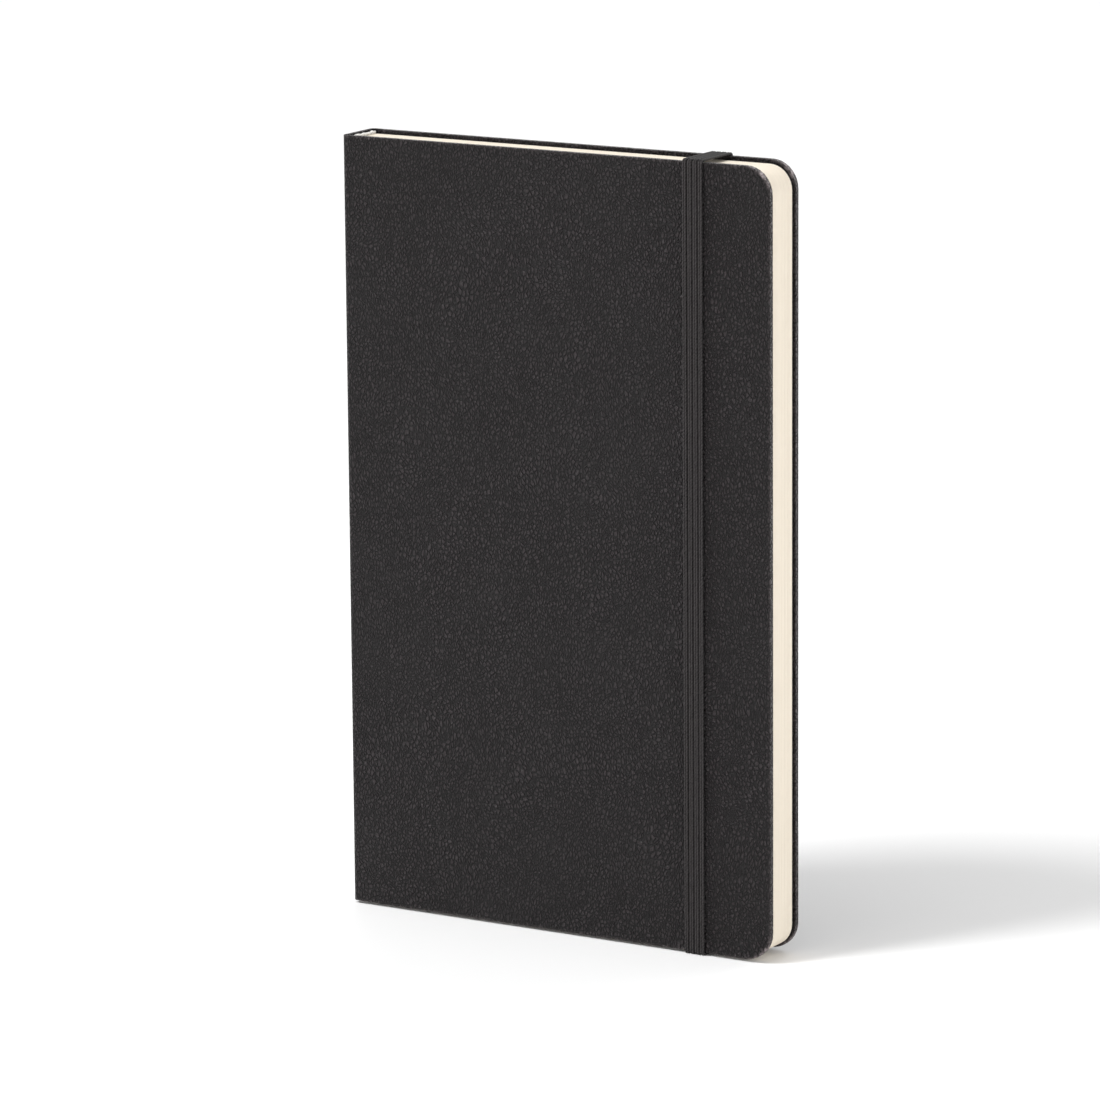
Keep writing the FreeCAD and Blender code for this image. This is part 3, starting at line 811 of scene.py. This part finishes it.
def add_apron(bm, bead_x, back_x, z, low_y, span, drop):
    """The cloth of one headband: over the folds, and down the backs of the sections."""
    apron = bmesh.ops.create_grid(bm, x_segments=2, y_segments=12, size=0.5)["verts"]
    bmesh.ops.scale(bm, verts=apron, vec=(bead_x - back_x, span, 1))
    bmesh.ops.translate(bm, verts=apron, vec=((bead_x + back_x) / 2, low_y + span / 2, z))
    edge = [edge for edge in bm.edges
            if all(abs(vert.co.x - back_x) < 1e-6 for vert in edge.verts)]
    hanging = bmesh.ops.extrude_edge_only(bm, edges=edge)["geom"]
    bmesh.ops.translate(bm, verts=only(bmesh.types.BMVert, hanging), vec=(0, 0, drop))


class SKETCHBOOK_OT_headbands(bpy.types.Operator):
    """Build the wound cloth beads at the head and the tail of the spine"""
    bl_idname = "sketchbook.headbands"
    bl_label = "Headbands"

    def execute(self, context):
        radius = settings("binding").bead_radius
        chance = random.Random(5)
        for node, end in (("headband", HEAD), ("tailband", FOOT)):
            low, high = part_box(node)
            span = high.y - low.y
            bead_x = high.x - radius
            bead_z = high.z - radius if end == HEAD else low.z + radius
            bm = bmesh.new()
            add_bead(bm, bead_x, bead_z, low.y, span, end, chance)
            add_apron(bm, bead_x, low.x, bead_z - end * 0.1 * MM, low.y, span,
                      drop=-end * (high.z - low.z - radius))
            piece = finish_piece(node + "_cloth", bm, material("headband_cloth"))
            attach(piece, "spine")
            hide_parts(node)
        return {"FINISHED"}


class SKETCHBOOK_OT_binding(bpy.types.Operator):
    """Give the boards, card, gauze, thread and pocket panel their materials"""
    bl_idname = "sketchbook.binding"
    bl_label = "Binding"

    # Each node of the frame that shows as it is, with its material and its slot.
    FINISHES = {
        "front_board": ("greyboard", "greyboard"),
        "back_board": ("greyboard", "greyboard"),
        "spine_liner": ("spine_card", "card"),
        "spine_gauze": ("gauze", "gauze"),
        "sewing_thread": ("linen_thread", "thread"),
        "pocket_panel": ("endpaper", "endpaper"),
    }

    def execute(self, context):
        for node, (finish, slot) in self.FINISHES.items():
            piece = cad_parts[node]
            piece.data.materials.clear()
            piece.data.materials.append(material(finish))
        return {"FINISHED"}


# --- pocket --------------------------------------------------------------------------

class SKETCHBOOK_OT_gussets(bpy.types.Operator):
    """Build the folded cloth ends of the inner pocket"""
    bl_idname = "sketchbook.gussets"
    bl_label = "Pocket gussets"

    def execute(self, context):
        binding = settings("binding")
        air = 0.08 * MM
        inner, outer = GUSSET_LOW.y + air, GUSSET_HIGH.y - air
        columns = 12
        pitch = (GUSSET_HIGH.x - GUSSET_LOW.x) / columns
        bm = bmesh.new()
        for end, edge_z in ((FOOT, GUSSET_LOW.z), (HEAD, GUSSET_HIGH.z)):
            verts = [bm.verts.new((GUSSET_LOW.x + pitch * column, outer, edge_z))
                     for column in range(columns + 1)]
            edges = [bm.edges.new(pair) for pair in zip(verts, verts[1:])]
            for direction in (-end, end):
                made = bmesh.ops.extrude_edge_only(bm, edges=edges)["geom"]
                new = only(bmesh.types.BMVert, made)
                bmesh.ops.translate(bm, verts=new, vec=(0, (inner - outer) / 2,
                                                        direction * binding.gusset_width))
                edges = far_edges(made, new)
        piece = finish_piece("pocket_gusset_cloth", bm, material("gusset_cloth"), smooth=False)
        add_solidify(piece, binding.gusset_thickness, offset=0)
        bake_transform(piece)
        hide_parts("pocket_gussets")
        return {"FINISHED"}


# --- elastic band --------------------------------------------------------------------

def band_section(bm, start):
    """Cross-sections of the band's knitted strands and of the web behind them."""
    band = settings("band")
    width = BAND_HIGH.x - BAND_LOW.x
    rib = width / band.ribs
    strand = (rib - band.groove) / 2
    edges = []

    def add_loop(segments, turn, size, place):
        made = bmesh.ops.create_circle(bm, segments=segments, radius=1.0)["verts"]
        bmesh.ops.rotate(bm, verts=made, matrix=Matrix.Rotation(turn, 3, "Z"))
        bmesh.ops.scale(bm, verts=made, vec=(*size, 1))
        bmesh.ops.translate(bm, verts=made, vec=start + Vector((*place, 0)))
        edges.extend(dict.fromkeys(edge for vert in made for edge in vert.link_edges))

    back = 0.1 * MM
    web_margin = 0.3 * MM
    high = BAND_THICKNESS - back
    for number in range(band.ribs):
        middle = BAND_LOW.x + (number + 0.5) * rib
        for side in (-1, 1):
            add_loop(12, 0, (strand * 0.48, high / 2),
                     (middle + side * strand * 0.51, back + high / 2))
    half_web = (high - band.rib_height) / 2
    half_width = width / 2 - web_margin
    diagonal = math.sqrt(2)
    add_loop(4, math.pi / 4, (half_width * diagonal, half_web * diagonal),
             ((BAND_LOW.x + BAND_HIGH.x) / 2, back + half_web))
    return edges


def sweep(bm, edges, moves):
    """Extrude loops of edges through a list of moves, and close both ends.

    Each move is a matrix and its length, and the UV map runs across and along the band.
    """
    layer = bm.loops.layers.uv.new("UVMap")
    bmesh.ops.holes_fill(bm, edges=edges)
    travelled = 0.0
    for move, length in moves:
        made = bmesh.ops.extrude_edge_only(bm, edges=edges)["geom"]
        verts = only(bmesh.types.BMVert, made)
        new = set(verts)
        bmesh.ops.transform(bm, verts=verts, matrix=move)
        for face in only(bmesh.types.BMFace, made):
            for loop in face.loops:
                along = travelled + (length if loop.vert in new else 0.0)
                loop[layer].uv = (loop.vert.co.x - BAND_LOW.x, along)
        travelled += length
        edges = far_edges(made, verts)
    bmesh.ops.holes_fill(bm, edges=edges)


def straight(vector, pieces):
    """Moves along a straight run."""
    step = Vector(vector) / pieces
    return [(Matrix.Translation(step), step.length)] * pieces


def turn_about(y, z, angle, radius, pieces=6):
    """Moves round a bend whose axis runs along X through (y, z)."""
    centre = Matrix.Translation((0, y, z))
    part = centre @ Matrix.Rotation(angle / pieces, 4, "X") @ centre.inverted()
    return [(part, abs(angle / pieces) * radius)] * pieces


def build_loop(inner_y):
    """The part of the band that goes round the front, the head and the foot."""
    bend = settings("band").bend
    back_y = BAND_HIGH.y - bend
    top, bottom = BAND_HIGH.z - bend, BAND_LOW.z + bend
    bm = bmesh.new()
    edges = band_section(bm, Vector((0, inner_y, top)))
    moves = turn_about(back_y, top, QUARTER_TURN, bend)
    moves += straight((0, -2 * back_y, 0), 8)
    moves += turn_about(-back_y, top, QUARTER_TURN, bend)
    moves += straight((0, 0, bottom - top), 24)
    moves += turn_about(-back_y, bottom, QUARTER_TURN, bend)
    moves += straight((0, 2 * back_y, 0), 8)
    moves += turn_about(back_y, bottom, QUARTER_TURN, bend)
    sweep(bm, edges, moves)
    loop = finish_piece("elastic_loop", bm, material("elastic_knit"))
    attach(loop, "elastic")
    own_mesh(loop)
    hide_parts("elastic_band")


def build_tail(word, end, inner_y):
    """One end of the band, down the back cover and into its slot."""
    band = settings("band")
    if end == HEAD:
        edge_z, slot_z = BAND_HIGH.z - band.bend, TOP_Z - band.tail
    else:
        edge_z, slot_z = BAND_LOW.z + band.bend, BOTTOM_Z + band.tail
    above_slot, sunk, into_slot = 0.9 * MM, 0.2 * MM, 0.6 * MM
    dip_z = slot_z + end * above_slot
    bm = bmesh.new()
    edges = band_section(bm, Vector((0, inner_y, edge_z)))
    moves = straight((0, 0, dip_z - edge_z), 12)
    moves += turn_about(inner_y - sunk, dip_z, -end * QUARTER_TURN, band.bend)
    moves += straight((0, -into_slot, 0), 1)
    sweep(bm, edges, moves)
    piece = finish_piece("elastic_tail_" + word, bm, material("elastic_knit"))
    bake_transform(piece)
    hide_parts("elastic_band")


class SKETCHBOOK_OT_elastic(bpy.types.Operator):
    """Build the ribbed elastic: the loop round the book and its two tails"""
    bl_idname = "sketchbook.elastic"
    bl_label = "Elastic band"

    def execute(self, context):
        inner_y = BAND_HIGH.y - BAND_THICKNESS
        build_loop(inner_y)
        build_tail("head", HEAD, inner_y)
        build_tail("foot", FOOT, inner_y)
        return {"FINISHED"}


# --- stage ---------------------------------------------------------------------------

# Distant lights: the direction that each shines from, its strength and width in degrees.
SUNS = {
    "key_light": ((-0.5, -0.62, 0.85), 2.2, 20),
    "back_light": ((-0.15, 0.85, 0.42), 1.15, 60),
}

# Soft boxes that face the book: the place of each, its width and its power in watts.
SOFT_BOXES = {
    "top_light": ((-0.15, -0.2, 1.3), 0.8, 3.5),
    "front_light": ((-0.85, -1.45, 0.42), 0.7, 6),
    "side_light": ((1.3, -0.75, 0.35), 0.9, 4.5),
    "edge_light": ((0.9, 1.3, 0.3), 0.8, 7),
}


def add_lamp(name, kind, energy):
    """A light of the scene, not yet placed."""
    lamp = bpy.data.lights.new(name, kind)
    lamp.energy = energy
    light = bpy.data.objects.new(name, lamp)
    bpy.context.scene.collection.objects.link(light)
    return light


def add_lights():
    """The distant lights and the soft boxes."""
    for name, (direction, strength, width) in SUNS.items():
        light = add_lamp(name, "SUN", strength)
        light.data.angle = math.radians(width)
        light.rotation_euler = Vector(direction).to_track_quat("Z", "Y").to_euler()
    book = Vector((0, 0, 150 * MM))
    for name, (place, width, power) in SOFT_BOXES.items():
        light = add_lamp(name, "AREA", power)
        light.data.size = width
        light.location = place
        light.rotation_euler = (book - Vector(place)).to_track_quat("-Z", "Y").to_euler()


# Degrees that the camera looks down, turns and leans.
CAMERA_AIM = (11.83, 31.05, -0.47)


def add_camera(stage):
    """The camera, at its angle round the middle of the book."""
    target = Vector((0, -0.75 * MM, 105.8 * MM))
    flat = math.cos(stage.elevation)
    outward = Vector((math.sin(stage.azimuth) * flat, -math.cos(stage.azimuth) * flat,
                      math.sin(stage.elevation)))
    data = bpy.data.cameras.new("camera")
    data.lens = stage.lens
    data.sensor_width = 36
    data.clip_start = 0.05
    data.clip_end = 100
    camera = bpy.data.objects.new("camera", data)
    camera.location = target + outward * stage.distance
    pitch, turn, lean = (math.radians(angle) for angle in CAMERA_AIM)
    aim = Matrix.Rotation(turn, 4, "Z") @ Matrix.Rotation(QUARTER_TURN - pitch, 4, "X")
    camera.rotation_euler = (aim @ Matrix.Rotation(lean, 4, "Z")).to_euler()
    bpy.context.scene.collection.objects.link(camera)
    bpy.context.scene.camera = camera


def add_floor(stage):
    """A wide plain floor, which runs out of sight."""
    half_width = 40.0
    bm = bmesh.new()
    bmesh.ops.create_grid(bm, x_segments=4, y_segments=4, size=half_width)
    surface = Nodes("pale_floor", roughness=0.9, gloss=0.1, colour=stage.floor_colour)
    floor = finish_piece("floor", bm, surface.material, smooth=False)


def add_surroundings():
    """A white room, bright at the horizon and dimmer overhead."""
    low, high = 0.02, 0.35
    bright, dim = 1.0, 0.33
    world = bpy.data.worlds.new("studio")
    world.use_nodes = True
    nodes, links = world.node_tree.nodes, world.node_tree.links
    background = nodes["Background"]
    background.inputs["Color"].default_value = (1, 1, 1, 1)
    direction = nodes.new("ShaderNodeTexCoord")
    split = nodes.new("ShaderNodeSeparateXYZ")
    fade = nodes.new("ShaderNodeMapRange")
    for name, number in (("From Min", low), ("From Max", high), ("To Min", bright),
                         ("To Max", dim)):
        fade.inputs[name].default_value = number
    links.new(direction.outputs["Generated"], split.inputs["Vector"])
    links.new(split.outputs["Z"], fade.inputs["Value"])
    links.new(fade.outputs["Result"], background.inputs["Strength"])
    bpy.context.scene.world = world


class SKETCHBOOK_OT_stage(bpy.types.Operator):
    """Build the camera, the pale floor and the soft light"""
    bl_idname = "sketchbook.stage"
    bl_label = "Stage"

    def execute(self, context):
        stage = settings("stage")
        add_camera(stage)
        add_floor(stage)
        add_surroundings()
        add_lights()
        context.scene.view_settings.view_transform = "Standard"
        return {"FINISHED"}


# --- add-on --------------------------------------------------------------------------

OPERATORS = [
    SKETCHBOOK_OT_covers,
    SKETCHBOOK_OT_corner_pleats,
    SKETCHBOOK_OT_endpapers,
    SKETCHBOOK_OT_sections,
    SKETCHBOOK_OT_headbands,
    SKETCHBOOK_OT_binding,
    SKETCHBOOK_OT_gussets,
    SKETCHBOOK_OT_elastic,
    SKETCHBOOK_OT_stage,
]


class SKETCHBOOK_PT_panel(bpy.types.Panel):
    """Lists the pieces of the sketchbook"""
    bl_idname = "SKETCHBOOK_PT_panel"
    bl_label = "Sketchbook"
    bl_space_type = "VIEW_3D"
    bl_region_type = "UI"
    bl_category = "Sketchbook"

    def draw(self, context):
        for group, kind in GROUPS.items():
            box = self.layout.box()
            box.label(text=group.title())
            for name in kind.__annotations__:
                box.prop(settings(group), name)
        for operator in OPERATORS:
            self.layout.operator(operator.bl_idname)


CLASSES = [*GROUPS.values(), *OPERATORS, SKETCHBOOK_PT_panel]


def register():
    """Make the classes known to Blender, and give each scene its property groups."""
    for item in CLASSES:
        bpy.utils.register_class(item)
    for group, kind in GROUPS.items():
        pointer = bpy.props.PointerProperty(type=kind)
        setattr(bpy.types.Scene, "sketchbook_" + group, pointer)


def unregister():
    """Take away what register made."""
    for group in GROUPS:
        delattr(bpy.types.Scene, "sketchbook_" + group)
    for item in reversed(CLASSES):
        bpy.utils.unregister_class(item)


def main():
    """Build every piece."""
    register()
    for operator in OPERATORS:
        family, name = operator.bl_idname.split(".")
        getattr(getattr(bpy.ops, family), name)()


if __name__ == "__main__":
    main()
